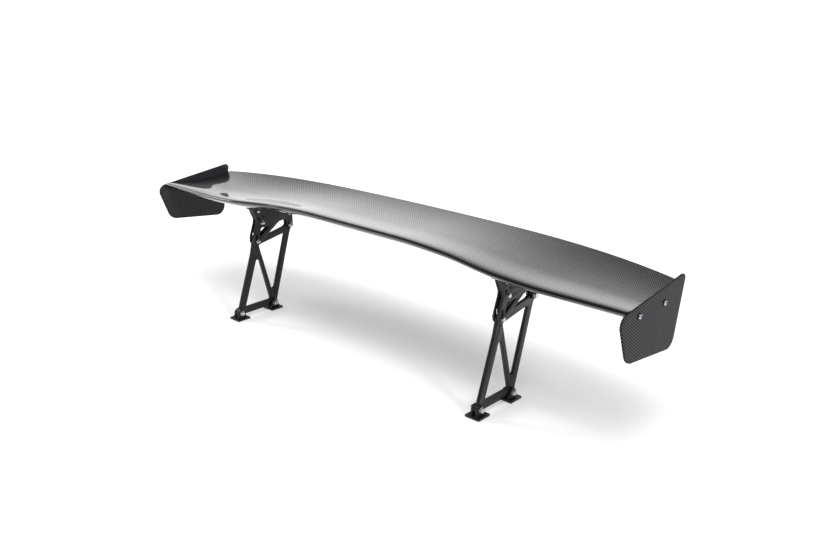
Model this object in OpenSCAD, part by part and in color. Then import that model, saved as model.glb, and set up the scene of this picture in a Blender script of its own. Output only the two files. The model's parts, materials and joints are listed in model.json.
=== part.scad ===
// Racing rear wing: a hollow arched aerofoil between two end plates, carried
// on two braced stands with clevis feet. Millimetres.
// X runs along the span, Y from the leading edge to the trailing edge, Z up.

/* [Wing] */
// Width over the end plates
span = 1700; // [1600:10:1800]
// Nose to trailing edge at the end plates
tip_chord = 254; // [240:1:270]
// How much further back the trailing edge runs at mid span
chord_gain = 105; // [60:5:120]
// Height of the nose at the end plates
tip_nose_z = 364; // [360:1:368]
// How much higher the nose sits at mid span
centre_rise = 27; // [10:1:30]
// How far the nose steps back between the stands
nose_step = 15; // [5:1:20]
// Greatest thickness as a share of the chord
thickness_ratio = 0.105; // [0.095:0.001:0.115]
// Sag of the camber line as a share of the chord
camber_ratio = 0.075; // [0.07:0.001:0.085]
// Thickness of the trailing edge
te_t = 3; // [2:0.5:4]
// Laminate thickness of the two skins
skin_t = 2; // [1.5:0.1:2.5]

/* [End plates] */
// Thickness of an end plate
end_plate_t = 6; // [4:0.5:8]
// Radius of the washers under the end plate screws
cup_washer_r = 9; // [8:0.5:10]

/* [Stands] */
// Distance between the middles of the two stands
stand_spacing = 945; // [920:5:970]
// Thickness of a stand plate
stand_t = 9; // [8:0.5:10]
// Thickness of a bracket cheek
cheek_t = 5; // [4:0.5:6]
// Width of the flange under the wing
flange_w = 40; // [38:1:44]
// Thickness of that flange
flange_t = 4; // [3:0.5:5]
// Angle between two positions of the index bolt
index_step = 3; // [2.8:0.1:3.2]

/* [Feet] */
// Width of a foot's base along the span
foot_w = 43; // [42:1:50]
// Length of a foot's base
foot_l = 44; // [42:1:48]
// Thickness of a foot's base
foot_t = 6; // [5:0.5:6]
// Thickness of each lug of a foot
lug_t = 6; // [5:0.5:7]
// Radius of the four fixing holes in a base
fixing_r = 2.75; // [2.25:0.25:3.25]

/* [Hidden] */

$fn = 48;
slide_gap = 0.3;       // between faces that move past each other
pin_gap = 0.06;        // around a hinge pin
seat_gap = 0.3;        // under the curved skin

// Wing: places along the span where the nose changes course
half_span = span / 2;
wing_end = half_span - end_plate_t;
tip_nose_y = -113.5;
mid_nose_y = -104;
step_run = [320, 510];          // the nose steps back over this run
sweep_run = [560, half_span];   // and sweeps forward again to the tip
nose_sweep = 5.5;
rise_run = [150, 650];          // the nose comes down over this run
te_bow_share = 0.76;            // the rest of the trailing edge's bow is flatter in the middle
te_bow = 18.4;
te_drop = 5;
tip_te_z = 366;
depth_hold = 0.5;               // share of the extra chord that adds no depth
camber_at = 0.4;
station_count = 49;
chord_count = 22;
rib_t = 12;
main_spar_at = 0.38;
rear_spar_at = 0.70;
spar_t = 3;

// Stands, in a side view (y, z)
stand_x = stand_spacing / 2;
pivot = [84.7, 263];
index_bolt = [-47.5, 235.8];
front_bolt = [-26.5, 291.2];
rear_bolt = [82.5, 301];
foot_front_y = -124;
foot_rear_y = 6.5;
foot_pin_z = 20;
lug_r = 12.5;
cheek_x = stand_t / 2 + slide_gap;
cheek_face = cheek_x + cheek_t;
boss_r = 11.5;
flange_front = -60;
flange_rear = 95;
flange_steps = 16;
saddle_screw_x = 15;
saddle_screw_ys = [-42, 76];
fixing_x = 15.6;
fixing_y = 14;
index_count = 4;

// Fasteners
m5_r = 2.5;
m6_r = 3;
m8_r = 4;
washer_t = 1.4;

// The origin is under the middle of the whole outline
y_front = foot_front_y - foot_l / 2;
y_rear = tip_nose_y + tip_chord + chord_gain;
mid_y = (y_front + y_rear) / 2;
module in_frame() translate([0, -mid_y, 0]) children();

// ---- the aerofoil as a formula ----

function blend(run, x) = let (u = min(1, max(0, (x - run[0]) / (run[1] - run[0])))) u * u * (3 - 2 * u);

function nose_y(x) = let (a = abs(x))
    mid_nose_y - nose_step * blend(step_run, a) + nose_sweep * blend(sweep_run, a);
function nose_z(x) = tip_nose_z + centre_rise * (1 - blend(rise_run, abs(x)));

function te_y(x) = let (s2 = pow(x / half_span, 2))
    tip_nose_y + tip_chord + chord_gain * (1 - s2) * (1 + (1 - te_bow_share) * s2);
function te_z(x) = let (s2 = pow(x / half_span, 2)) tip_te_z + (1 - s2) * (te_drop + te_bow * s2);

function chord(x) = te_y(x) - nose_y(x);
// Sag and thickness grow less than the chord does towards mid span
function depth_chord(x) = chord(x) - depth_hold * (chord(x) - tip_chord);
function sag(t) = t < camber_at
    ? (2 * camber_at * t - t * t) / pow(camber_at, 2)
    : (1 - 2 * camber_at + 2 * camber_at * t - t * t) / pow(1 - camber_at, 2);
function camber_z(x, t) =
    nose_z(x) + (te_z(x) - nose_z(x)) * t - camber_ratio * depth_chord(x) * sag(t);
function half_depth(x, t) = te_t / 2 * t + 5 * thickness_ratio * depth_chord(x)
    * (0.2969 * sqrt(t) - 0.126 * t - 0.3516 * t * t + 0.2843 * pow(t, 3) - 0.1036 * pow(t, 4));

// side is 1 for the upper surface and -1 for the lower one
function outer_point(x, t, side) =
    [x, nose_y(x) + t * chord(x), camber_z(x, t) + side * half_depth(x, t)];
// The inside of the laminate: solid where the section is thinner than two skins
function inner_point(x, t, side, depth) =
    let (shift = 1.2 * depth / chord(x), u = shift + (1 - shift) * t, h = half_depth(x, u))
    [x, nose_y(x) + u * chord(x), camber_z(x, u) + side * (t == 0 ? 0 : max(0, h - depth))];
function lower_z(x, y) = outer_point(x, (y - nose_y(x)) / chord(x), -1)[2];

// Points crowd towards the nose, where the section curves most
function share(j) = 1 - cos(90 * j / (chord_count - 1));
function skin_ring(x, side) = concat(
    [for (j = [0 : chord_count - 1]) outer_point(x, share(j), side)],
    [for (j = [chord_count - 1 : -1 : 0]) inner_point(x, share(j), side, skin_t)]);
function station(i) = wing_end * (2 * i / (station_count - 1) - 1);

// Solid through rings that run out along one line of points and back along another
module loft(rings, flip = false) {
    n = len(rings[0]);
    last = n * (len(rings) - 1);
    sides = [for (i = [0 : len(rings) - 2], j = [0 : n - 1], half = [0, 1])
        let (a = i * n + j, b = i * n + (j + 1) % n, c = b + n, d = a + n)
        half == 0 ? [a, b, c] : [a, c, d]];
    end_cap = [for (j = [0 : n / 2 - 2], half = [0, 1])
        half == 0 ? [j, j + 1, n - 2 - j] : [j, n - 2 - j, n - 1 - j]];
    faces = concat(sides, [for (f = end_cap) [f[2], f[1], f[0]]], [for (f = end_cap) [for (k = f) last + k]]);
    polyhedron(points = [for (ring = rings, p = ring) p],
        faces = flip ? [for (f = faces) [for (k = [len(f) - 1 : -1 : 0]) f[k]]] : faces,
        convexity = 8);
}

// ---- outlines and helpers ----

// Arc that rounds the corner at c, between a and b; each point is [y, z, radius]
function corner(a, c, b, steps = 6) =
    let (p = [c[0], c[1]],
        u = unit([a[0], a[1]] - p),
        v = unit([b[0], b[1]] - p),
        half = acos(u * v) / 2,
        middle = p + unit(u + v) * c[2] / sin(half),
        from = p + u * c[2] / tan(half) - middle,
        to = p + v * c[2] / tan(half) - middle,
        start = atan2(from[1], from[0]),
        turn = atan2(from[0] * to[1] - from[1] * to[0], from * to))
    c[2] == 0 ? [p] : [for (k = [0 : steps])
        middle + c[2] * [cos(start + turn * k / steps), sin(start + turn * k / steps)]];
function unit(v) = v / norm(v);
function rounded(points) = let (n = len(points)) [for (i = [0 : n - 1],
    p = corner(points[(i + n - 1) % n], points[i], points[(i + 1) % n])) p];

// Lays a (y, z) outline across the span from x0 to x1
module along_x(x0, x1) translate([x0, 0, 0]) rotate([90, 0, 90]) linear_extrude(x1 - x0) children();
module rod_x(x0, x1, r, at) translate([x0, at[0], at[1]]) rotate([0, 90, 0]) cylinder(h = x1 - x0, r = r);
module hex_x(x0, x1, r, at) translate([x0, at[0], at[1]]) rotate([0, 90, 0]) cylinder(h = x1 - x0, r = r, $fn = 6);
module rod_z(z0, z1, r, at) translate([at[0], at[1], z0]) cylinder(h = z1 - z0, r = r);

// The right side stands at +X; the left one is its mirror image
module right() children();
module left() mirror([1, 0, 0]) children();
module both() {
    right() children();
    left() children();
}

// Hex bolt through a stand: head outboard, long thread inboard
module stand_bolt(at, r, head_x, tail_x) translate([stand_x, 0, 0]) {
    hex_x(head_x, head_x + 1.3 * r, 1.85 * r, at);
    rod_x(tail_x, head_x, r, at);
}
module stand_nut(at, r, face_x) translate([stand_x, 0, 0]) difference() {
    hex_x(face_x - 1.6 * r, face_x, 1.85 * r, at);
    rod_x(face_x - 2 * r, face_x + 1, r, at);
}
module stand_washers(at, r, face_x) translate([stand_x, 0, 0])
    for (x0 = [face_x, -face_x - washer_t]) difference() {
        rod_x(x0, x0 + washer_t, 2 * r, at);
        rod_x(x0 - 1, x0 + washer_t + 1, r, at);
    }

// ---- wing shell and what it holds ----

module upper_skin() in_frame() color("dimgray")
    loft([for (i = [0 : station_count - 1]) skin_ring(station(i), 1)], true);

module lower_skin() in_frame() color("dimgray") difference() {
    loft([for (i = [0 : station_count - 1]) skin_ring(station(i), -1)]);
    both() saddle_screw_bores(m5_r);
}

// Web that joins the two skins at one share of the chord
module spar(at) {
    inset = skin_t + 0.2;
    spar_end = wing_end - rib_t;
    loft([for (i = [0 : station_count - 1])
        let (x = spar_end * (2 * i / (station_count - 1) - 1),
            a = at, b = at + spar_t / chord(x))
        [spar_point(x, a, -inset), spar_point(x, b, -inset),
            spar_point(x, b, inset), spar_point(x, a, inset)]]);
}
function spar_point(x, t, inset) = let (side = sign(-inset))
    [x, nose_y(x) + t * chord(x), camber_z(x, t) + side * (half_depth(x, t) - abs(inset))];
module main_spar() in_frame() color("gray") spar(main_spar_at);
module rear_spar() in_frame() color("gray") spar(rear_spar_at);

// Solid plug in each end of the shell, tapped for the end plate screws
rib_inset = skin_t + 0.3;
function rib_outline(x) = let (t0 = 0.03, t1 = 0.86, steps = 18, k = (t1 - t0) / steps)
    concat([for (j = [0 : steps]) rib_point(x, t0 + k * j, -1)],
        [for (j = [steps : -1 : 0]) rib_point(x, t0 + k * j, 1)]);
function rib_point(x, t, side) =
    [nose_y(x) + t * chord(x), camber_z(x, t) + side * (half_depth(x, t) - rib_inset)];
end_screws = [[-64, 347.5], [46, 347.5]];
module end_rib() difference() {
    along_x(wing_end - rib_t, wing_end) polygon(rib_outline(wing_end));
    for (at = end_screws) rod_x(wing_end - rib_t - 1, wing_end + 1, m6_r, at);
}
module end_rib_r() in_frame() color("gray") right() end_rib();
module end_rib_l() in_frame() color("gray") left() end_rib();

// Tapped blocks bonded inside the lower skin over each saddle
module saddle_screw_bores(r)
    for (y = saddle_screw_ys, side = [-1, 1])
        rod_z(250, 420, r, [stand_x + side * saddle_screw_x, y]);
block = [40, 22, 10];
module hard_points() for (y = saddle_screw_ys) {
    base = max([for (dx = [-1, 1], dy = [-1, 1])
        lower_z(stand_x + dx * block[0] / 2, y + dy * block[1] / 2)]) + 2 * skin_t;
    difference() {
        translate([stand_x - block[0] / 2, y - block[1] / 2, base]) cube(block);
        saddle_screw_bores(m5_r);
    }
}
module hard_points_r() in_frame() color("silver") right() hard_points();
module hard_points_l() in_frame() color("silver") left() hard_points();

// ---- end plates ----

module end_plate() difference() {
    along_x(wing_end, half_span) polygon(rounded([[-145, 361, 24], [141, 396, 12],
        [104, 221, 30], [-103, 247, 35]]));
    for (at = end_screws) rod_x(wing_end - 1, half_span + 1, m6_r, at);
}
module end_plate_r() in_frame() color("dimgray") right() end_plate();
module end_plate_l() in_frame() color("dimgray") left() end_plate();

cup_t = 2.2;
module end_plate_washers() in_frame() color("black") both() for (at = end_screws) difference() {
    translate([half_span, at[0], at[1]]) rotate([0, 90, 0])
        cylinder(h = cup_t, r1 = cup_washer_r, r2 = cup_washer_r - 1.2);
    rod_x(half_span - 1, half_span + cup_t + 1, m6_r, at);
}
// Button head with a hexagon socket
module end_plate_screws() in_frame() color("silver") both() for (at = end_screws) difference() {
    union() {
        rod_x(wing_end - rib_t, half_span + cup_t, m6_r, at);
        translate([half_span + cup_t, at[0], at[1]]) rotate([0, 90, 0])
            rotate_extrude() button_profile(6.4, 3.4);
    }
    hex_x(half_span + cup_t + 1.2, half_span + cup_t + 5, 2.3, at);
}
module button_profile(r, h) polygon(concat([[0, 0]],
    [for (k = [0 : 6]) [r * cos(15 * k), h * sin(15 * k)]]));

// ---- brackets under the wing ----

// The flange follows the lowest line of the skin above it
function flange_y(k) = flange_front + (flange_rear - flange_front) * k / flange_steps;
function flange_top(y) = lower_z(stand_x + flange_w / 2, y) - seat_gap - 0.5;
function flange_line(drop) = [for (k = [0 : flange_steps]) [flange_y(k), flange_top(flange_y(k)) - drop]];
function reversed(list) = [for (k = [len(list) - 1 : -1 : 0]) list[k]];

module saddle() difference() {
    union() {
        along_x(stand_x - flange_w / 2, stand_x + flange_w / 2)
            polygon(concat(flange_line(0), reversed(flange_line(flange_t))));
        along_x(stand_x - cheek_x, stand_x + cheek_x) saddle_web();
    }
    saddle_screw_bores(m5_r);
    for (at = [front_bolt, rear_bolt]) rod_x(stand_x - 20, stand_x + 20, m6_r, at);
}
module saddle_web() difference() {
    polygon(concat(flange_line(flange_t / 2), [[93, 293], [72, 293], [66, 287], [-40, 283], [-43, 290],
        [-43, 301]]));
    light_holes();
}
// A round hole and a three-cornered one beside the front bolt
module light_holes() {
    translate([-21, 311]) circle(r = 3);
    polygon(rounded([[-43, 303, 1.5], [-33, 302.5, 1.5], [-38, 313, 1.5]]));
}
module saddle_r() in_frame() color("black") right() saddle();
module saddle_l() in_frame() color("black") left() saddle();

// Thin bed of adhesive between the flat-sided flange and the twisted skin
module bedding_pad() difference() {
    loft([for (i = [0 : 4]) let (x = stand_x + flange_w * (i / 4 - 1 / 2)) concat(
        [for (p = flange_line(0)) [x, p[0], p[1]]],
        [for (p = reversed(flange_line(0))) [x, p[0], lower_z(x, p[0]) - seat_gap]])]);
    saddle_screw_bores(m5_r);
}
module bedding_pad_r() in_frame() color("black") right() bedding_pad();
module bedding_pad_l() in_frame() color("black") left() bedding_pad();

// A cap head clears the lowest part of the flange above it
head_r = 4.2;
head_t = 4;
function head_top(y) = min(flange_top(y - head_r), flange_top(y + head_r)) - flange_t - seat_gap;
module saddle_screws() in_frame() color("silver") both()
    for (y = saddle_screw_ys, side = [-1, 1]) {
        at = [stand_x + side * saddle_screw_x, y];
        top = head_top(y);
        rod_z(top - 1, top + 20, m5_r, at);
        difference() {
            rod_z(top - head_t, top, head_r, at);
            translate([at[0], at[1], top - head_t - 1]) cylinder(h = 3, r = 2, $fn = 6);
        }
    }

// Open bracket cheek: a fin under the flange, a leg with the index slot,
// a brace back up to the fin and a short leg down to the pivot
module cheek(x0) difference() {
    along_x(x0, x0 + cheek_t) difference() {
        polygon(concat(flange_line(flange_t), rounded([[94, 305, 0],
            [pivot[0] + boss_r, pivot[1] - boss_r, boss_r - 1], [pivot[0] - boss_r, pivot[1] - boss_r, boss_r - 1],
            [73, 285, 3], [40, 282, 20], [5, 258, 20], [-38, 226, 10], [-64, 226, 11], [-62, 252, 30],
            [-48, 291, 3], [-46, 304, 0]])));
        polygon(rounded([[-30.5, 275, 3], [11, 277.5, 3], [-42, 243.5, 3]]));
        light_holes();
        index_slot();
    }
    rod_x(x0 - 1, x0 + cheek_t + 1, m8_r + pin_gap, pivot);
    for (at = [front_bolt, rear_bolt]) rod_x(x0 - 1, x0 + cheek_t + 1, m6_r, at);
}
// Round seats for the index bolt, joined by a narrower neck about the pivot
index_r = norm(index_bolt - pivot);
index_angle = atan2(index_bolt[1] - pivot[1], index_bolt[0] - pivot[0]);
function on_index(angle) = pivot + index_r * [cos(index_angle - angle), sin(index_angle - angle)];
module index_slot() {
    for (k = [0 : index_count - 1]) translate(on_index(index_step * k)) circle(r = m6_r + 1.2);
    reach = index_step * (index_count - 1);
    neck = m6_r + 0.3;
    polygon(concat(
        [for (k = [0 : 8]) pivot + (on_index(reach * k / 8) - pivot) * (1 + neck / index_r)],
        [for (k = [8 : -1 : 0]) pivot + (on_index(reach * k / 8) - pivot) * (1 - neck / index_r)]));
}
module cheek_outer_r() in_frame() color("black") right() cheek(stand_x + cheek_x);
module cheek_outer_l() in_frame() color("black") left() cheek(stand_x + cheek_x);
module cheek_inner_r() in_frame() color("black") right() cheek(stand_x - cheek_face);
module cheek_inner_l() in_frame() color("black") left() cheek(stand_x - cheek_face);

module bracket_bolts() in_frame() color("silver") both() for (at = [front_bolt, rear_bolt])
    stand_bolt(at, m6_r, cheek_face + washer_t, -21);
module bracket_nuts() in_frame() color("silver") both() for (at = [front_bolt, rear_bolt])
    stand_nut(at, m6_r, -cheek_face - washer_t);
module bracket_washers() in_frame() color("silver") both() for (at = [front_bolt, rear_bolt])
    stand_washers(at, m6_r, cheek_face);

// ---- stands ----

module stand_plate() difference() {
    along_x(stand_x - stand_t / 2, stand_x + stand_t / 2) difference() {
        union() {
            polygon(rounded([[-131, 19, 0], [-124, 13, 0], [8, 13, 0], [18, 19, 0], [84, 237, 40],
                [95.5, 262, 0], [86, 273.9, 0], [60, 259.5, 12], [10, 249.5, 60], [-58.5, 247, 9],
                [-70, 196, 200]]));
            for (y = [foot_front_y, foot_rear_y]) translate([y, foot_pin_z]) circle(r = 12);
            translate(pivot) circle(r = 11);
        }
        // Window between the front member and the diagonal
        polygon(rounded([[-103.1, 34, 5], [-4.5, 34, 5], [-45.8, 195.7, 8]]));
        // Window between the diagonal and the rear member
        polygon(rounded([[6.3, 46.1, 8], [64.5, 240, 5], [-40, 221.5, 5]]));
        translate([-52, 219.5]) circle(r = 3);
    }
    rod_x(stand_x - 10, stand_x + 10, m8_r, pivot);
    rod_x(stand_x - 10, stand_x + 10, m6_r, index_bolt);
    for (y = [foot_front_y, foot_rear_y]) rod_x(stand_x - 10, stand_x + 10, m8_r, [y, foot_pin_z]);
}
module stand_plate_r() in_frame() color("black") right() stand_plate();
module stand_plate_l() in_frame() color("black") left() stand_plate();

moving_face = cheek_face + slide_gap;
module pivot_bolts() in_frame() color("silver") both()
    stand_bolt(pivot, m8_r, moving_face + washer_t, -23);
module pivot_nuts() in_frame() color("silver") both()
    stand_nut(pivot, m8_r, -moving_face - washer_t);
module pivot_washers() in_frame() color("silver") both() stand_washers(pivot, m8_r, moving_face);

module index_bolts() in_frame() color("silver") both()
    stand_bolt(index_bolt, m6_r, moving_face + washer_t, -22);
module index_nuts() in_frame() color("silver") both()
    stand_nut(index_bolt, m6_r, -moving_face - washer_t);
module index_washers() in_frame() color("silver") both() stand_washers(index_bolt, m6_r, moving_face);

// ---- feet ----

lug_face = stand_t / 2 + slide_gap + lug_t;
module foot(y) difference() {
    union() {
        translate([stand_x - foot_w / 2, y - foot_l / 2, 0]) cube([foot_w, foot_l, foot_t]);
        for (x0 = [stand_x - lug_face, stand_x + lug_face - lug_t])
            along_x(x0, x0 + lug_t) {
                translate([y, foot_pin_z]) circle(r = lug_r);
                polygon([[y - 16, foot_t - 1], [y + 16, foot_t - 1], [y + lug_r, foot_pin_z],
                    [y - lug_r, foot_pin_z]]);
            }
    }
    rod_x(stand_x - 20, stand_x + 20, m8_r + pin_gap, [y, foot_pin_z]);
    for (dx = [-fixing_x, fixing_x], dy = [-fixing_y, fixing_y])
        rod_z(-1, foot_t + 1, fixing_r, [stand_x + dx, y + dy]);
}
module foot_front_r() in_frame() color("black") right() foot(foot_front_y);
module foot_front_l() in_frame() color("black") left() foot(foot_front_y);
module foot_rear_r() in_frame() color("black") right() foot(foot_rear_y);
module foot_rear_l() in_frame() color("black") left() foot(foot_rear_y);

foot_pins = [[foot_front_y, foot_pin_z], [foot_rear_y, foot_pin_z]];
foot_washer_face = lug_face + slide_gap;
module foot_bolts() in_frame() color("silver") both() for (at = foot_pins)
    stand_bolt(at, m8_r, foot_washer_face + washer_t, -foot_washer_face - 10);
module foot_nuts() in_frame() color("silver") both() for (at = foot_pins)
    stand_nut(at, m8_r, -foot_washer_face - washer_t);
module foot_washers() in_frame() color("silver") both() for (at = foot_pins)
    stand_washers(at, m8_r, foot_washer_face);

upper_skin();
lower_skin();
main_spar();
rear_spar();
end_rib_l();
end_rib_r();
hard_points_l();
hard_points_r();
end_plate_l();
end_plate_r();
end_plate_screws();
end_plate_washers();
bedding_pad_l();
bedding_pad_r();
saddle_l();
saddle_r();
saddle_screws();
cheek_outer_l();
cheek_inner_l();
cheek_outer_r();
cheek_inner_r();
bracket_bolts();
bracket_nuts();
bracket_washers();
stand_plate_l();
stand_plate_r();
pivot_bolts();
pivot_nuts();
pivot_washers();
index_bolts();
index_nuts();
index_washers();
foot_front_l();
foot_front_r();
foot_rear_l();
foot_rear_r();
foot_bolts();
foot_nuts();
foot_washers();
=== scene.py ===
import json
import math
import bmesh
import bpy
import numpy as np
from mathutils import Matrix, Vector


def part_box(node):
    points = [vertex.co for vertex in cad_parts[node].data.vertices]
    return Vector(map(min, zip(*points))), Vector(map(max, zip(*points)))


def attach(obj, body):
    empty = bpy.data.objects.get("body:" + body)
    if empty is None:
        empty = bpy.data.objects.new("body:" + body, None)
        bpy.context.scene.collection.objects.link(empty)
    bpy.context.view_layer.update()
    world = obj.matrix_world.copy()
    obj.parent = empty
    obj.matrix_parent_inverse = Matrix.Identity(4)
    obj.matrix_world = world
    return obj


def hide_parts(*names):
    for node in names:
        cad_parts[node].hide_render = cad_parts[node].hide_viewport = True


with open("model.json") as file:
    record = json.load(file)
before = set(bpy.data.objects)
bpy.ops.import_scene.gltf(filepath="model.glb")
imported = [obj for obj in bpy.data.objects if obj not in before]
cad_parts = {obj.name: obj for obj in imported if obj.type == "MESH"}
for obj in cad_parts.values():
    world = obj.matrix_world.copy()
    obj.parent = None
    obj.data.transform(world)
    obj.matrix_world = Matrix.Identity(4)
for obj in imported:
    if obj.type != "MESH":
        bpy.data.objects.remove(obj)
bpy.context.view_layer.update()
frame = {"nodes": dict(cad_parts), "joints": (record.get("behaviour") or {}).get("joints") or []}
nodes = frame["nodes"]
joints = {joint["name"]: joint for joint in frame["joints"]}
mm = 0.001
print("frame loaded:", len(nodes), "nodes")


def colour(code):
    # each channel: ((c + 0.055) / 1.055) to the power 2.4, or c / 12.92 when it is dark
    srgb = [int(code[i:i + 2], 16) / 255 for i in (1, 3, 5)]
    return [c / 12.92 if c <= 0.04045 else ((c + 0.055) / 1.055) ** 2.4 for c in srgb] + [1.0]


def addNode(tree, kind, inputs=None, **settings):
    node = tree.nodes.new(kind)
    for name, value in settings.items():
        setattr(node, name, value)
    for key, value in (inputs or {}).items():
        if isinstance(value, bpy.types.NodeSocket):
            tree.links.new(value, node.inputs[key])
        else:
            node.inputs[key].default_value = value
    return node


def newMaterial(name, surface):
    # surface: inputs of the Principled shader that are the same all over
    material = bpy.data.materials.new(name)
    material.use_nodes = True
    tree = material.node_tree
    shader = tree.nodes["Principled BSDF"]
    for key, value in surface.items():
        shader.inputs[key].default_value = value
    return material, tree, shader


twill = {
    "towWidth": 1.92 * mm,       # one flattened bundle of three thousand fibres
    "towHeight": 0.15 * mm,
    "roughness": 0.34,           # of the bundles under the coat
    "shellTowSheen": ("#5f6165", "#060607"),   # painted sheen: lit bundles, and the shaded ones that cross them
    # the same painted sheen, lit and shaded bundles, on the end plates
    "plateTowSheen": ("#48494c", "#050506"),
    "plateTurn": 8.0,            # the end plates' cloth lies about along their top edge, in degrees
    "noseBand": (9 * mm, 15 * mm),         # along the nose the cloth fades into plain dark resin
    "noseShade": 0.12,           # how much of the cloth still shows there
    "patchSize": 111 * mm,       # of the broad, faint light and dark patches
}


def twillCarbon(name, place, across, along, towSheen, metallic, coat, banded):
    # 2x2 twill in epoxy under a polished clear coat: diagonal ribs of bundles in a painted sheen, lit and
    # shaded, seen through a mirror-smooth skin that brightens towards grazing angles
    material, tree, shader = newMaterial(name, {
        "Metallic": metallic, "Roughness": twill["roughness"], "Specular IOR Level": 0.0,
        "Coat Weight": coat, "Coat Roughness": 0.03, "Coat IOR": 1.5})
    if place == "cloth":
        spot = addNode(tree, "ShaderNodeUVMap", uv_map="cloth").outputs["UV"]
    else:
        spot = addNode(tree, "ShaderNodeTexCoord").outputs["Object"]
    # bundles counted across and along the cloth: distance that way over the width of a bundle
    counts = [addNode(tree, "ShaderNodeVectorMath", {0: spot, 1: [part / twill["towWidth"] for part in way]},
                      operation="DOT_PRODUCT").outputs["Value"] for way in (across, along)]
    whole = [addNode(tree, "ShaderNodeMath", {0: count}, operation="FLOOR").outputs[0] for count in counts]
    share = [addNode(tree, "ShaderNodeMath", {0: count}, operation="FRACT").outputs[0] for count in counts]
    # which of the four steps of the weave a crossing is on: both whole counts added, modulo 4
    total = addNode(tree, "ShaderNodeMath", {0: whole[0], 1: whole[1]}, operation="ADD").outputs[0]
    step = addNode(tree, "ShaderNodeMath", {0: total, 1: 4.0}, operation="FLOORED_MODULO").outputs[0]
    warpOver = addNode(tree, "ShaderNodeMath", {0: step, 1: 1.5}, operation="LESS_THAN").outputs[0]
    # height: half a sine across the bundle times half a sine along its float over two crossings
    heights = []
    for own, other, floatStart in ((0, 1, 0.0), (1, 0, -math.pi)):   # warp, then weft
        crest = addNode(tree, "ShaderNodeMath", {0: share[own], 1: math.pi}, operation="MULTIPLY").outputs[0]
        crest = addNode(tree, "ShaderNodeMath", {0: crest}, operation="SINE").outputs[0]
        run = addNode(tree, "ShaderNodeMath", {0: step, 1: share[other]}, operation="ADD").outputs[0]
        run = addNode(tree, "ShaderNodeMath", {0: run, 1: math.pi / 2, 2: floatStart},
                      operation="MULTIPLY_ADD").outputs[0]
        run = addNode(tree, "ShaderNodeMath", {0: run}, operation="SINE").outputs[0]
        run = addNode(tree, "ShaderNodeMath", {0: run, 1: 0.6, 2: 0.4}, operation="MULTIPLY_ADD").outputs[0]
        heights.append(addNode(tree, "ShaderNodeMath", {0: crest, 1: run}, operation="MULTIPLY").outputs[0])
    height = addNode(tree, "ShaderNodeMix", {"Factor": warpOver, 2: heights[1], 3: heights[0]}).outputs[0]
    # painted sheen: the lit colour where the warp lies on top, the shaded colour where the weft does
    litAndShadedTow = addNode(tree, "ShaderNodeMix", {"Factor": warpOver, 6: colour(towSheen[1]), 7: colour(towSheen[0])},
                   data_type="RGBA").outputs[2]
    # painted shade darkens the bundles towards their gaps, and patches of cloth lie a little differently
    patches = addNode(tree, "ShaderNodeTexNoise", {"Vector": spot, "Scale": 1 / twill["patchSize"],
                                                   "Detail": 2.0}).outputs["Fac"]
    depth = addNode(tree, "ShaderNodeMath", {0: height, 1: 0.5, 2: 0.5}, operation="MULTIPLY_ADD").outputs[0]
    lie = addNode(tree, "ShaderNodeMath", {0: patches, 1: 0.3, 2: 0.85}, operation="MULTIPLY_ADD").outputs[0]
    light = addNode(tree, "ShaderNodeMath", {0: depth, 1: lie}, operation="MULTIPLY").outputs[0]
    if banded:
        fromNose = addNode(tree, "ShaderNodeAttribute", attribute_name="fromNose").outputs["Fac"]
        bandStart, bandEnd = twill["noseBand"]
        shown = addNode(tree, "ShaderNodeMapRange", {"Value": fromNose, "From Min": bandStart,
                                                     "From Max": bandEnd, "To Min": twill["noseShade"]})
        darker = addNode(tree, "ShaderNodeMath", {0: light, 1: shown.outputs[0]}, operation="MULTIPLY")
        light = darker.outputs[0]
    shaded = addNode(tree, "ShaderNodeVectorMath", {0: litAndShadedTow, 3: light}, operation="SCALE").outputs[0]
    bump = addNode(tree, "ShaderNodeBump", {"Height": height, "Distance": twill["towHeight"],
                                            "Strength": 0.5})
    tree.links.new(shaded, shader.inputs["Base Color"])
    tree.links.new(bump.outputs[0], shader.inputs["Normal"])
    return material


def anodised(name, code, roughness):
    # blasted aluminium, anodised black: an even, soft sheen with a fine dry grain
    material, tree, shader = newMaterial(name, {"Metallic": 0.35, "Roughness": roughness})
    place = addNode(tree, "ShaderNodeTexCoord").outputs["Object"]
    noises = [addNode(tree, "ShaderNodeTexNoise", {"Vector": place, "Scale": 1 / size, "Detail": detail})
              for size, detail in ((0.5 * mm, 2.0), (60 * mm, 3.0))]
    grain, cloud = [noise.outputs["Fac"] for noise in noises]
    base = np.array(colour(code))
    tint = addNode(tree, "ShaderNodeMix", {"Factor": cloud, 6: list(base * [0.8, 0.8, 0.8, 1]),
                                          7: list(base * [1.25, 1.25, 1.25, 1])}, data_type="RGBA").outputs[2]
    gloss = addNode(tree, "ShaderNodeMapRange", {
        "Value": cloud, "From Min": 0.3, "From Max": 0.7,
        "To Min": roughness - 0.05, "To Max": roughness + 0.07}).outputs[0]
    bump = addNode(tree, "ShaderNodeBump", {"Height": grain, "Distance": 0.02 * mm, "Strength": 0.35})
    tree.links.new(tint, shader.inputs["Base Color"])
    tree.links.new(gloss, shader.inputs["Roughness"])
    tree.links.new(bump.outputs[0], shader.inputs["Normal"])
    return material


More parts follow.
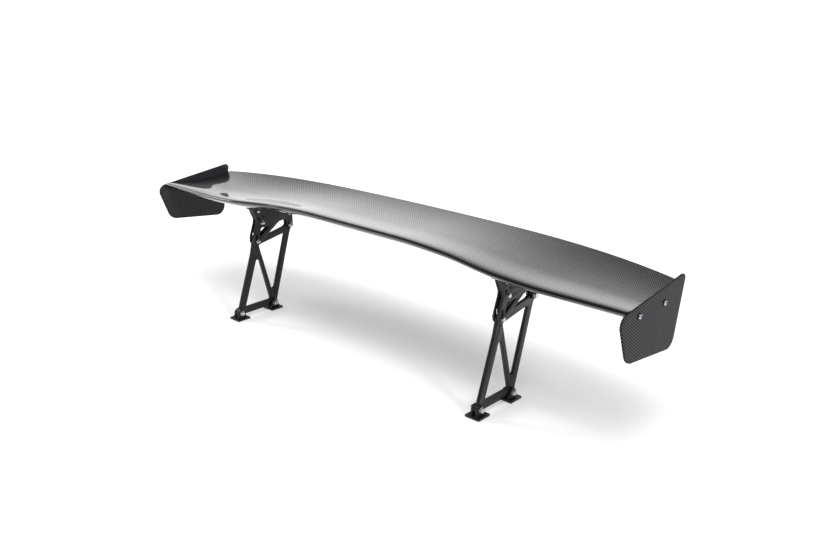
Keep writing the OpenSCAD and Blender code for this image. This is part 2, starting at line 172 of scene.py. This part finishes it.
def brightSteel(name, code, roughness, ringPitch):
    # rolled or turned steel with a bright coat: sharp glints, with fine tool rings round its axis,
    # which is noise squeezed to ringPitch mm along the axis and drawn out to 25 mm across it
    material, tree, shader = newMaterial(name, {"Metallic": 1.0, "Roughness": roughness})
    place = addNode(tree, "ShaderNodeTexCoord").outputs["Object"]
    stain = addNode(tree, "ShaderNodeTexNoise", {"Vector": place, "Scale": 1 / (4 * mm), "Detail": 3.0})
    base = np.array(colour(code))
    stained = list(base * [0.82, 0.82, 0.8, 1])
    tint = addNode(tree, "ShaderNodeMix", {"Factor": stain.outputs["Fac"], 6: stained, 7: list(base)},
                   data_type="RGBA").outputs[2]
    ringScale = (1 / (ringPitch * mm), 1 / (25 * mm), 1 / (25 * mm))
    squeezed = addNode(tree, "ShaderNodeMapping", {"Vector": place, "Scale": ringScale}).outputs[0]
    rings = addNode(tree, "ShaderNodeTexNoise", {"Vector": squeezed, "Scale": 1.0, "Detail": 1.0})
    bump = addNode(tree, "ShaderNodeBump", {"Height": rings.outputs["Fac"], "Distance": 0.01 * mm,
                                            "Strength": 0.4})
    tree.links.new(tint, shader.inputs["Base Color"])
    tree.links.new(bump.outputs[0], shader.inputs["Normal"])
    return material


def plainFinish(name, code, roughness, grainSize, metallic=0.0):
    # a matt finish with a mottled grain, for the pieces inside the shell
    material, tree, shader = newMaterial(name, {"Metallic": metallic, "Roughness": roughness})
    place = addNode(tree, "ShaderNodeTexCoord").outputs["Object"]
    grain = addNode(tree, "ShaderNodeTexNoise", {"Vector": place, "Scale": 1 / (grainSize * mm),
                                                 "Detail": 4.0}).outputs["Fac"]
    base = np.array(colour(code))
    tint = addNode(tree, "ShaderNodeMix", {"Factor": grain, 6: list(base * [0.7, 0.7, 0.7, 1]),
                                          7: list(base * [1.2, 1.2, 1.2, 1])}, data_type="RGBA").outputs[2]
    bump = addNode(tree, "ShaderNodeBump", {"Height": grain, "Distance": 0.05 * mm, "Strength": 0.3})
    tree.links.new(tint, shader.inputs["Base Color"])
    tree.links.new(bump.outputs[0], shader.inputs["Normal"])
    return material


# metallic: how far the bundles shine like fine wire; coat: how glossy the resin over them is
turn = math.radians(twill["plateTurn"])
shellCarbon = twillCarbon("clear coated twill carbon", "cloth", (1, 0, 0), (0, 1, 0), twill["shellTowSheen"],
                          metallic=0.88, coat=1.0, banded=True)
plateCarbon = twillCarbon("end plate twill carbon", "object", (0, math.cos(turn), math.sin(turn)),
                          (0, -math.sin(turn), math.cos(turn)), twill["plateTowSheen"],
                          metallic=0.0, coat=0.25, banded=False)
blackAnodised = anodised("black anodised aluminium", "#141517", 0.4)
blackCup = anodised("black anodised cup washer", "#060607", 0.35)
zincSteel = brightSteel("bright zinc plated steel", "#c9cbd0", 0.24, 0.4)
buttonSteel = brightSteel("bright steel button head", "#b4b6ba", 0.14, 0.2)
bareLaminate = plainFinish("bare laminate", "#26272a", 0.6, 3.0)
plainAluminium = plainFinish("machined aluminium", "#b9bbbe", 0.35, 1.0, metallic=1.0)
bondingPaste = plainFinish("black bonding paste", "#15161a", 0.75, 1.5)
print("materials made")


def meshObject(name, points, faces, material, body, replaced):
    # a smooth shaded piece that rides on a body and stands for one node of the frame
    mesh = bpy.data.meshes.new(name)
    mesh.from_pydata(points, [], faces)
    mesh.polygons.foreach_set("use_smooth", np.ones(len(mesh.polygons), bool))
    mesh.materials.append(material)
    piece = bpy.data.objects.new(name, mesh)
    bpy.context.scene.collection.objects.link(piece)
    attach(piece, body)
    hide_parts(replaced)
    return mesh


def turnOutward(mesh, sharpAngle=35):
    # doubles merged, faces turned outwards, and edges sharper than the angle kept crisp
    shape = bmesh.new()
    shape.from_mesh(mesh)
    bmesh.ops.remove_doubles(shape, verts=shape.verts, dist=1e-7)
    bmesh.ops.recalc_face_normals(shape, faces=shape.faces)
    shape.to_mesh(mesh)
    shape.free()
    mesh.set_sharp_from_angle(angle=math.radians(sharpAngle))


def tubeFaces(rows, columns):
    # quads between rows of points, each row a closed loop of columns points
    i, j = np.meshgrid(np.arange(rows - 1), np.arange(columns), indexing="ij")
    a = i * columns + j
    b = i * columns + (j + 1) % columns
    return np.stack([a, b, b + columns, a + columns], -1).reshape(-1, 4).tolist()


wing = {
    "halfSpan": 850.0, "shellEnd": 844.0,                  # the shell ends at the inside of the end plates
    "tipNoseY": -113.5, "midNoseY": -104.0, "noseStep": 15.0, "noseSweep": 5.5,
    "tipNoseZ": 364.0, "centreRise": 27.0,
    "tipChord": 254.0, "chordGain": 105.0, "bowShare": 0.76,
    "tipTeZ": 366.0, "teDrop": 5.0, "teBow": 18.4,
    "noseStepRun": (320, 510), "noseSweepRun": (560, 850), "riseRun": (150, 650),
    "thickness": 0.105, "camber": 0.075, "depthHold": 0.5, "camberAt": 0.4, "teThickness": 3.0,
    "skin": 2.0,
    "seamAt": 15.0, "seamWidth": 0.9, "seamDepth": 0.35,   # moulding seam along the nose, on top
    "stations": 281, "chordPoints": 64,
}
# the frame's origin is under the middle of the outline, so the trailing edge gives the shift
wing["shiftY"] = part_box("upper_skin")[1].y / mm - (wing["tipNoseY"] + wing["tipChord"] + wing["chordGain"])


def easeBetween(a, b, x):
    # u squared times (3 - 2u), with u the share of the way from a to b
    u = np.clip((x - a) / (b - a), 0, 1)
    return u * u * (3 - 2 * u)


def wingPoint(x, t, side, inset=0.0):
    # x along the span and t along the chord: a straight chord from nose to trailing edge, less a
    # two-parabola sag, plus or minus the half thickness of a round-nosed aerofoil, which is a fourth
    # degree polynomial with a square root at the nose; all in mm
    w = wing
    s2 = (x / w["halfSpan"]) ** 2
    noseY = w["midNoseY"] - w["noseStep"] * easeBetween(*w["noseStepRun"], abs(x))
    noseY = noseY + w["noseSweep"] * easeBetween(*w["noseSweepRun"], abs(x))
    noseZ = w["tipNoseZ"] + w["centreRise"] * (1 - easeBetween(*w["riseRun"], abs(x)))
    bow = w["bowShare"] * (1 - s2) + (1 - w["bowShare"]) * (1 - s2 * s2)
    backY = w["tipNoseY"] + w["tipChord"] + w["chordGain"] * bow
    backZ = w["tipTeZ"] + (1 - s2) * (w["teDrop"] + w["teBow"] * s2)
    chord = backY - noseY
    depth = chord - w["depthHold"] * (chord - w["tipChord"])
    u = t + (1 - t) * 1.2 * inset / chord
    p = w["camberAt"]
    sag = np.where(u < p, (2 * p * u - u * u) / p ** 2, (1 - 2 * p + 2 * p * u - u * u) / (1 - p) ** 2)
    half = w["teThickness"] / 2 * u + 5 * w["thickness"] * depth * (
        0.2969 * np.sqrt(u) - 0.126 * u - 0.3516 * u ** 2 + 0.2843 * u ** 3 - 0.1036 * u ** 4)
    if inset:
        half = np.maximum(half - inset, 0)
    z = noseZ + (backZ - noseZ) * u - w["camber"] * depth * sag + side * half
    return np.stack([x, noseY + u * chord + w["shiftY"], z], -1)


def shellHalf(name, side, node):
    # outer face from nose to trailing edge, back along the inner face: one closed loop per station
    x = np.linspace(-wing["shellEnd"], wing["shellEnd"], wing["stations"])
    t = 1 - np.cos(np.linspace(0, math.pi / 2, wing["chordPoints"]))
    grid = np.meshgrid(x, t, indexing="ij")
    outer = wingPoint(grid[0], grid[1], side)
    inner = wingPoint(grid[0], grid[1], side, wing["skin"])
    steps = np.linalg.norm(np.diff(outer, axis=1), axis=-1)
    run = np.concatenate([np.zeros((len(x), 1)), np.cumsum(steps, axis=1)], axis=1)
    if side > 0:   # the seam is a shallow rounded valley, at one distance behind the nose
        outer[..., 2] -= wing["seamDepth"] * np.exp(-((run - wing["seamAt"]) / wing["seamWidth"]) ** 2)
    ring = np.concatenate([outer, inner[:, ::-1]], axis=1)
    fromNose = np.concatenate([run, run[:, ::-1]], axis=1)
    cloth = fromNose - run[:, -1:]   # the cloth is laid along the trailing edge
    rows, columns = ring.shape[:2]
    faces = tubeFaces(rows, columns)
    # each end is closed by quads between the outer and the inner face
    k = np.arange(columns // 2 - 1)
    endCap = np.stack([k, k + 1, columns - 2 - k, columns - 1 - k], -1)
    faces += endCap.tolist() + (endCap + (rows - 1) * columns)[:, ::-1].tolist()
    mesh = meshObject(name, ring.reshape(-1, 3) * mm, faces, shellCarbon, "wing", node)
    corners = np.zeros(len(mesh.loops), np.int32)
    mesh.loops.foreach_get("vertex_index", corners)
    uv = np.stack([np.repeat(x, columns), cloth.reshape(-1)], -1) * mm
    layer = mesh.uv_layers.new(name="cloth")
    layer.data.foreach_set("uv", uv[corners].reshape(-1))
    band = mesh.attributes.new("fromNose", "FLOAT", "POINT")
    band.data.foreach_set("value", (fromNose * mm).reshape(-1).astype(np.float32))
    shape = bmesh.new()
    shape.from_mesh(mesh)
    bmesh.ops.recalc_face_normals(shape, faces=shape.faces)
    shape.to_mesh(mesh)
    shape.free()
    mesh.set_sharp_from_angle(angle=math.radians(40))


shellHalf("upperShell", 1, "upper_skin")
shellHalf("lowerShell", -1, "lower_skin")
print("wing shell made")


endPlate = {
    # corners as y, z and radius, in mm from the middle of the plate, in its own plane
    "corners": [(-145, 361, 24), (141, 396, 12), (104, 221, 30), (-103, 247, 35)],
    "edgeRound": 1.6, "arcPoints": 16, "sidePoints": 24, "rings": 14,
}


def roundedOutline(corners, arcPoints, sidePoints):
    # straight runs joined by arcs that touch both sides of each corner: an arc's middle lies its
    # radius over the sine of half the corner's angle away from the corner
    pieces = []
    for k, (cy, cz, radius) in enumerate(corners):
        here = np.array([cy, cz], float)
        before = np.array(corners[k - 1][:2], float) - here
        after = np.array(corners[(k + 1) % len(corners)][:2], float) - here
        u, v = before / np.linalg.norm(before), after / np.linalg.norm(after)
        half = math.acos(np.dot(u, v)) / 2
        middle = here + (u + v) / np.linalg.norm(u + v) * radius / math.sin(half)
        first, last = here + u * radius / math.tan(half), here + v * radius / math.tan(half)
        start = math.atan2(*(first - middle)[::-1])
        turn = math.atan2(*(last - middle)[::-1]) - start
        turn = (turn + math.pi) % (2 * math.pi) - math.pi
        angle = start + turn * np.linspace(0, 1, arcPoints)
        pieces.append(middle + radius * np.stack([np.cos(angle), np.sin(angle)], -1))
    outline = []
    for k, arc in enumerate(pieces):
        following = pieces[(k + 1) % len(pieces)][0]
        share = np.linspace(0, 1, sidePoints + 2)[1:-1, None]
        outline += [arc, arc[-1] + (following - arc[-1]) * share]
    return np.concatenate(outline)


def plateRings(outline, thickness, edge, rings):
    # rings grow from a pole at the middle of one face, roll over the rounded edge and shrink to
    # the middle of the other: (inset from the outline, distance through the plate)
    middle = outline.mean(0)
    ahead = np.roll(outline, -1, 0) - np.roll(outline, 1, 0)
    inward = np.stack([ahead[:, 1], -ahead[:, 0]], -1) / np.linalg.norm(ahead, axis=1)[:, None]
    inward *= np.sign(((middle - outline) * inward).sum(1))[:, None]
    turn = np.linspace(0, math.pi / 2, 6)
    face = [(middle + (outline + inward * edge - middle) * s, 0.0) for s in np.linspace(0.08, 1, rings)[:-1]]
    roll = [(outline + inward * edge * (1 - math.sin(a)), edge * (1 - math.cos(a))) for a in turn]
    near = face + roll
    far = [(ring, thickness - deep) for ring, deep in reversed(near)]
    return middle, near + far


def makeEndPlate(name, node, sign):
    # rings across one face, round the rolled edge and across the other, with a fan at each pole
    low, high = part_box(node)
    corners = [(y + wing["shiftY"], z, r) for y, z, r in endPlate["corners"]]
    outline = roundedOutline(corners, endPlate["arcPoints"], endPlate["sidePoints"])
    thickness = (high.x - low.x) / mm
    outside = (high.x if sign > 0 else low.x) / mm
    middle, rings = plateRings(outline, thickness, endPlate["edgeRound"], endPlate["rings"])
    rows = [np.column_stack([np.full(len(r), outside - sign * d), r]) for r, d in rings]
    points = np.concatenate(rows + [[[outside, *middle]], [[outside - sign * thickness, *middle]]])
    n = len(outline)
    k = np.arange(n)
    poles = len(rows) * n
    faces = tubeFaces(len(rows), n)
    faces += np.stack([np.full(n, poles), (k + 1) % n, k], -1).tolist()
    faces += np.stack([np.full(n, poles + 1), poles - n + k, poles - n + (k + 1) % n], -1).tolist()
    turnOutward(meshObject(name, points * mm, faces, plateCarbon, "wing", node), 50)


makeEndPlate("endPlateRight", "end_plate_r", 1)
makeEndPlate("endPlateLeft", "end_plate_l", -1)
print("end plates made")


def brokenEdges(name, node, width, body, material):
    # a merged copy of the frame's piece, its flat faces joined, its edges rounded by width mm
    mesh = nodes[node].data.copy()
    mesh.name = name
    shape = bmesh.new()
    shape.from_mesh(mesh)
    bmesh.ops.remove_doubles(shape, verts=shape.verts, dist=2e-6)
    bmesh.ops.dissolve_limit(shape, angle_limit=math.radians(1), verts=shape.verts, edges=shape.edges)
    shape.to_mesh(mesh)
    shape.free()
    mesh.polygons.foreach_set("use_smooth", np.ones(len(mesh.polygons), bool))
    mesh.materials.clear()
    mesh.materials.append(material)
    piece = bpy.data.objects.new(name, mesh)
    bpy.context.scene.collection.objects.link(piece)
    bevel = piece.modifiers.new("edges", "BEVEL")
    bevel.width = width * mm
    bevel.segments = 2
    bevel.limit_method = "ANGLE"
    bevel.angle_limit = math.radians(40)
    bevel.harden_normals = True
    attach(piece, body)
    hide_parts(node)


softEdges = {"stand_plate": ("stands", 0.6), "saddle": ("wing", 0.5), "cheek_outer": ("wing", 0.5),
             "cheek_inner": ("wing", 0.5), "foot_front": (None, 0.7), "foot_rear": (None, 0.7)}
for stem, (body, width) in softEdges.items():
    for end in "lr":
        node = f"{stem}_{end}"
        brokenEdges(node + "_finished", node, width, body or node + "_body", blackAnodised)
print("brackets, stands and feet finished")


# shares of a fastener's shank radius, thread pitch or size across the flats
fastener = {
    "flats": 3.2, "headHeight": 1.3, "nutHeight": 1.6, "roundPoints": 48,
    "chamferSlope": 1.73,        # a cone at 30 degrees cuts the hexagon's corners
    "threadDepth": 0.55, "threadSteps": 8, "plainShank": 2.2, "tipRound": 0.25,
}


def hexRadius(angle, flats):
    # distance from the middle of a hexagon to its side, for a size across the flats
    return flats / 2 / np.cos((angle + math.pi / 6) % (math.pi / 3) - math.pi / 6)


def ringSolid(radii, places, at, sign):
    # rows of radius and place along the span axis, each a function of the angle; poles close both ends
    n = radii.shape[1]
    angle = np.linspace(0, 2 * math.pi, n, endpoint=False)
    x = at[0] + sign * places
    points = np.stack([x, at[1] + radii * np.cos(angle), at[2] + radii * np.sin(angle)], -1).reshape(-1, 3)
    poles = [[x[0].mean(), at[1], at[2]], [x[-1].mean(), at[1], at[2]]]
    k = np.arange(n)
    last = len(points)
    faces = tubeFaces(len(radii), n)
    faces += np.stack([np.full(n, last), (k + 1) % n, k], -1).tolist()
    base = (len(radii) - 1) * n
    faces += np.stack([np.full(n, last + 1), base + k, base + (k + 1) % n], -1).tolist()
    return np.concatenate([points, poles]), faces


def ringLoop(radii, places, at, sign):
    # the same, but the last row joins the first, so a bore is left through the middle
    n = radii.shape[1]
    angle = np.linspace(0, 2 * math.pi, n, endpoint=False)
    x = at[0] + sign * places
    points = np.stack([x, at[1] + radii * np.cos(angle), at[2] + radii * np.sin(angle)], -1).reshape(-1, 3)
    faces = np.array(tubeFaces(len(radii) + 1, n)) % len(points)
    return points, faces.tolist()


def joined(shells):
    # several closed shells as one list of points and one of faces
    points, faces, start = [], [], 0
    for shellPoints, shellFaces in shells:
        points.append(shellPoints)
        faces += [[k + start for k in face] for face in shellFaces]
        start += len(shellPoints)
    return np.concatenate(points), faces


def hexBolt(at, sign, r, pitch, headUnder, tail):
    # head: hexagon cut by a cone; shank: plain, then a V thread whose depth follows
    # distance / pitch - turn, to the rounded end
    f = fastener
    circle = np.ones(f["roundPoints"])
    angle = np.linspace(0, 2 * math.pi, f["roundPoints"], endpoint=False)
    flats, height = f["flats"] * r, f["headHeight"] * r
    hexagon = hexRadius(angle, flats)
    rows = [(circle * 0.3 * flats, height * 0.93), (circle * 0.4 * flats, height * 0.94)]
    for h in np.linspace(height, height * 0.55, 6):
        rows.append((np.minimum(hexagon, flats * 0.48 + (height - h) * f["chamferSlope"]), h))
    rows += [(hexagon, 0.05 * r), (hexagon * 0.98, 0.0), (circle * r, 0.0), (circle * r, -0.2 * r)]
    end = tail - headUnder
    for h in np.arange(-f["plainShank"] * r, end, -pitch / f["threadSteps"]):
        wave = abs(2 * ((h / pitch - angle / (2 * math.pi)) % 1) - 1)
        fade = np.clip((h - end) / pitch, 0, 1)
        rows.append((r - f["threadDepth"] * pitch * wave - (1 - fade) * f["tipRound"] * r, h))
    rows.append((circle * 0.6 * r, end))
    radii = np.array([radius for radius, h in rows])
    places = np.array([circle * (h + headUnder) for radius, h in rows])
    return ringSolid(radii, places, at, sign)


def hexNut(at, sign, r, face):
    # hexagon between two cones, with a rounded collar on the far side, round a bore
    f = fastener
    circle = np.ones(f["roundPoints"])
    angle = np.linspace(0, 2 * math.pi, f["roundPoints"], endpoint=False)
    flats, height = f["flats"] * r, f["nutHeight"] * r
    hexagon = hexRadius(angle, flats)
    rows = [(circle * r, 0.0), (circle * flats * 0.46, 0.0)]
    for h in np.linspace(0.02, 0.18, 4) * height:
        rows.append((np.minimum(hexagon, flats * 0.48 + h * f["chamferSlope"]), h))
    for h in np.linspace(0.62, 0.78, 4) * height:
        rows.append((np.minimum(hexagon, flats * 0.48 + (0.8 * height - h) * f["chamferSlope"]), h))
    for a in np.linspace(0, math.pi / 2, 5):
        rows.append((circle * flats * (0.36 + 0.06 * math.cos(a)), height * (0.86 + 0.12 * math.sin(a))))
    rows.append((circle * r, height * 0.98))
    radii = np.array([radius for radius, h in rows])
    places = np.array([circle * (face - h) for radius, h in rows])
    return ringLoop(radii, places, at, sign)


def washer(at, sign, bore, outside, start, thickness):
    # a flat ring with its corners cut by 0.3 mm
    circle = np.ones(fastener["roundPoints"])
    cut = 0.3
    profile = [(bore, cut), (bore + cut, 0), (outside - cut, 0), (outside, cut), (outside, thickness - cut),
               (outside - cut, thickness), (bore + cut, thickness), (bore, thickness - cut)]
    radii = np.array([circle * r for r, h in profile])
    places = np.array([circle * (start + h) for r, h in profile])
    return ringLoop(radii, places, at, sign)


standX = joints["foot_front_r_tilt"]["pos_m"][0] / mm
# distance from the middle of a stand to where each kind of bolt's washer seats, and its thickness
stand = {"cheekFace": 9.8, "movingFace": 10.1, "lugFace": 11.1, "washer": 1.4}


def middleOf(node, radius, front):
    # y and z of a node's front or rear washer: the corner of the node's box, less the washer's radius
    low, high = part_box(node)
    if front:
        return low.y / mm + radius, low.z / mm + radius
    return high.y / mm - radius, high.z / mm - radius


def jointAt(name):
    # y and z of a joint
    return [value / mm for value in joints[name]["pos_m"][1:]]


bracketSpots = [middleOf("bracket_washers", 6, front) for front in (True, False)]
footSpots = [jointAt("foot_front_r_tilt"), jointAt("foot_rear_r_tilt")]
boltSets = {
    "pivot": {"body": "stands", "places": [jointAt("wing_tilt")],
              "r": 4, "pitch": 1.25, "face": "movingFace", "tail": -23},
    "index": {"body": "stands", "places": [middleOf("index_washers", 6, True)],
              "r": 3, "pitch": 1.0, "face": "movingFace", "tail": -22},
    "bracket": {"body": "wing", "places": bracketSpots,
                "r": 3, "pitch": 1.0, "face": "cheekFace", "tail": -21},
    "foot": {"body": "stands", "places": footSpots,
             "r": 4, "pitch": 1.25, "face": "lugFace", "tail": -21.1},
}
for name, kit in boltSets.items():
    spots = [((sign * standX, *place), sign) for place in kit["places"] for sign in (1, -1)]
    face, r = stand[kit["face"]], kit["r"]
    bolts = [hexBolt(at, sign, r, kit["pitch"], face + stand["washer"], kit["tail"]) for at, sign in spots]
    nuts = [hexNut(at, sign, r, -face - stand["washer"]) for at, sign in spots]
    washers = [washer(at, sign, r, 2 * r, start, stand["washer"]) for at, sign in spots
               for start in (face, -face - stand["washer"])]
    for kind, shells in (("bolts", bolts), ("nuts", nuts), ("washers", washers)):
        points, faces = joined(shells)
        turnOutward(meshObject(name + kind.capitalize(), points * mm, faces, zincSteel, kit["body"],
                               f"{name}_{kind}"))

endScrew = {"cupRadius": 9.0, "cup": 2.2, "shank": 3.0, "shankEnd": -6.0, "head": 6.4, "headUnder": 1.7,
            "dome": 3.4, "socket": 4.0, "socketDepth": 2.2, "roundPoints": 64}


def cupWasher(at, sign):
    # a turned cup: flat foot, sloping side, raised lip and a dished seat round the screw head
    circle = np.ones(endScrew["roundPoints"])
    bore, rim, lip = endScrew["shank"], endScrew["cupRadius"], endScrew["cup"]
    profile = [(bore, 0), (rim, 0), (rim, 0.5), (rim - 0.4, 1.2), (rim - 1, lip - 0.2), (rim - 1.4, lip),
               (rim - 1.9, lip - 0.1), (rim - 2.3, lip - 0.5), (bore, lip - 0.6)]
    radii = np.array([circle * r for r, h in profile])
    places = np.array([circle * h for r, h in profile])
    return ringLoop(radii, places, at, sign)


def buttonHead(at, sign):
    # dome: its height falls as the cosine of an angle and its radius grows as the sine; the hexagon
    # socket is cut in its middle
    s = endScrew
    circle = np.ones(s["roundPoints"])
    angle = np.linspace(0, 2 * math.pi, s["roundPoints"], endpoint=False)
    hexagon = hexRadius(angle, s["socket"])
    high = s["cup"] + s["dome"]
    floorAt = high - s["socketDepth"]
    rows = [(hexagon * 0.9, floorAt), (hexagon, floorAt), (hexagon, high - 0.45),
            (hexagon * 1.08, high - 0.25)]
    for a in np.linspace(0.42, 1, 9) * math.pi / 2:
        rows.append((circle * s["head"] * math.sin(a), s["cup"] - 0.5 + (s["dome"] + 0.3) * math.cos(a)))
    rows += [(circle * s["head"] * 0.96, s["headUnder"]), (circle * s["shank"], s["headUnder"]),
             (circle * s["shank"], s["shankEnd"])]
    radii = np.array([radius for radius, h in rows])
    places = np.array([circle * h for radius, h in rows])
    return ringSolid(radii, places, at, sign)


cupLow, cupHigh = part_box("end_plate_washers")
screwZ = (cupLow.z + cupHigh.z) / 2 / mm
screwYs = (cupLow.y / mm + endScrew["cupRadius"], cupHigh.y / mm - endScrew["cupRadius"])
screwSpots = [((sign * wing["halfSpan"], y, screwZ), sign) for y in screwYs for sign in (1, -1)]
endKits = {"endPlateWashers": (cupWasher, blackCup, "end_plate_washers", "black_cup_washer"),
           "endPlateScrews": (buttonHead, buttonSteel, "end_plate_screws", "bright_steel")}
for name, (make, material, node, slotName) in endKits.items():
    points, faces = joined([make(at, sign) for at, sign in screwSpots])
    turnOutward(meshObject(name, points * mm, faces, material, "wing", node))
print("fasteners made")


# inner pieces keep the frame's shapes and get a finish
inner = {
    "bare_laminate": (bareLaminate, ["main_spar", "rear_spar", "end_rib_l", "end_rib_r"]),
    "plain_aluminium": (plainAluminium, ["hard_points_l", "hard_points_r"]),
    "bonding_paste": (bondingPaste, ["bedding_pad_l", "bedding_pad_r"]),
    "bright_steel": (zincSteel, ["saddle_screws"]),
}
for slotName, (material, names) in inner.items():
    for node in names:
        nodes[node].data.materials.clear()
        nodes[node].data.materials.append(material)


studio = {
    "floorSize": 60.0, "fill": 0.9,
    "behind": 1.28, "front": 0.05, "overhead": 0.18,      # how bright each way looks in a reflection
    "wallTurn": 0.45, "ceilingRise": (0.1, 0.56),          # where one fades into the next
    # soft lights as big as a softbox: compass angle and height they shine from, spread, power
    "lights": {"rightSoftbox": (-8, 28, 14, 1.1), "leftSoftbox": (188, 28, 14, 0.9),
               "topSoftbox": (-55, 66, 28, 0.85)},
}

# matt paper: white, with a faint mottle of its fibres
floorMaterial, floorTree, floorShader = newMaterial("white paper sweep", {
    "Roughness": 0.9, "Specular IOR Level": 0.0})
floorPlace = addNode(floorTree, "ShaderNodeTexCoord").outputs["Object"]
fibres = addNode(floorTree, "ShaderNodeTexNoise", {"Vector": floorPlace, "Scale": 1 / (2 * mm),
                                                  "Detail": 1.0}).outputs["Fac"]
paper = addNode(floorTree, "ShaderNodeMix", {"Factor": fibres, 6: colour("#f4f4f4"), 7: colour("#f8f8f8")},
                data_type="RGBA")
floorTree.links.new(paper.outputs[2], floorShader.inputs["Base Color"])
half = studio["floorSize"] / 2
floorMesh = bpy.data.meshes.new("floor")
floorCorners = [(-half, -half, 0), (half, -half, 0), (half, half, 0), (-half, half, 0)]
floorMesh.from_pydata(floorCorners, [], [(0, 1, 2, 3)])
floorMesh.materials.append(floorMaterial)
floor = bpy.data.objects.new("floor", floorMesh)
bpy.context.scene.collection.objects.link(floor)

# camera: place in metres, the compass angle it looks along, how far it looks down and its roll
camera = {"place": (1.6867, -1.6770 + wing["shiftY"] * mm, 1.0469), "azimuth": 42.138, "down": 19.436,
          "roll": 0.222, "lens": 38.53}
azimuth, down, roll = (math.radians(camera[key]) for key in ("azimuth", "down", "roll"))

world = bpy.data.worlds.new("studio")
bpy.context.scene.world = world
world.use_nodes = True
sky = world.node_tree
background = sky.nodes["Background"]
# an even white fill; in reflections the white wall is behind the wing, the ceiling is dimmer and
# the side the wing is seen from is dark; seen directly it is plain white
way = addNode(sky, "ShaderNodeTexCoord").outputs["Generated"]
backward = addNode(sky, "ShaderNodeVectorMath", {0: way, 1: (-math.sin(azimuth), math.cos(azimuth), 0)},
                   operation="DOT_PRODUCT").outputs["Value"]
height = addNode(sky, "ShaderNodeSeparateXYZ", {0: way}).outputs[2]
wall = addNode(sky, "ShaderNodeMapRange", {"Value": backward, "From Min": -studio["wallTurn"],
                                          "From Max": studio["wallTurn"],
                                          "To Min": studio["front"], "To Max": studio["behind"]},
               interpolation_type="SMOOTHSTEP").outputs[0]
ceiling = addNode(sky, "ShaderNodeMapRange", {"Value": height, "From Min": studio["ceilingRise"][0],
                                             "From Max": studio["ceilingRise"][1],
                                             "To Min": 1.0, "To Max": studio["overhead"]},
                  interpolation_type="SMOOTHSTEP").outputs[0]
rays = addNode(sky, "ShaderNodeLightPath").outputs
mirrored = addNode(sky, "ShaderNodeMath", {0: wall, 1: ceiling}, operation="MULTIPLY").outputs[0]
lit = addNode(sky, "ShaderNodeMix", {"Factor": rays["Is Glossy Ray"], 2: studio["fill"],
                                     3: mirrored}).outputs[0]
strength = addNode(sky, "ShaderNodeMix", {"Factor": rays["Is Camera Ray"], 2: lit, 3: 1.0}).outputs[0]
sky.links.new(strength, background.inputs["Strength"])
background.inputs["Color"].default_value = (1, 1, 1, 1)

for name, (compass, rise, spread, power) in studio["lights"].items():
    lamp = bpy.data.lights.new(name, "SUN")
    lamp.angle = math.radians(spread)
    lamp.energy = power
    light = bpy.data.objects.new(name, lamp)
    compass, rise = math.radians(compass), math.radians(rise)
    source = Vector((math.cos(compass) * math.cos(rise), math.sin(compass) * math.cos(rise), math.sin(rise)))
    light.rotation_euler = source.to_track_quat("Z", "Y").to_euler()
    bpy.context.scene.collection.objects.link(light)

ahead = Vector((-math.sin(azimuth) * math.cos(down), math.cos(azimuth) * math.cos(down), -math.sin(down)))
level = Vector((math.cos(azimuth), math.sin(azimuth), 0))
upright = level.cross(ahead)
right = level * math.cos(roll) + upright * math.sin(roll)
top = right.cross(ahead)
lens = bpy.data.cameras.new("camera")
lens.lens = camera["lens"]
lens.sensor_width = 36
viewer = bpy.data.objects.new("camera", lens)
turned = Matrix((right, top, -ahead)).transposed().to_4x4()
viewer.matrix_world = Matrix.Translation(camera["place"]) @ turned
bpy.context.scene.collection.objects.link(viewer)
bpy.context.scene.camera = viewer
bpy.context.scene.view_settings.view_transform = "Standard"
print("studio made")
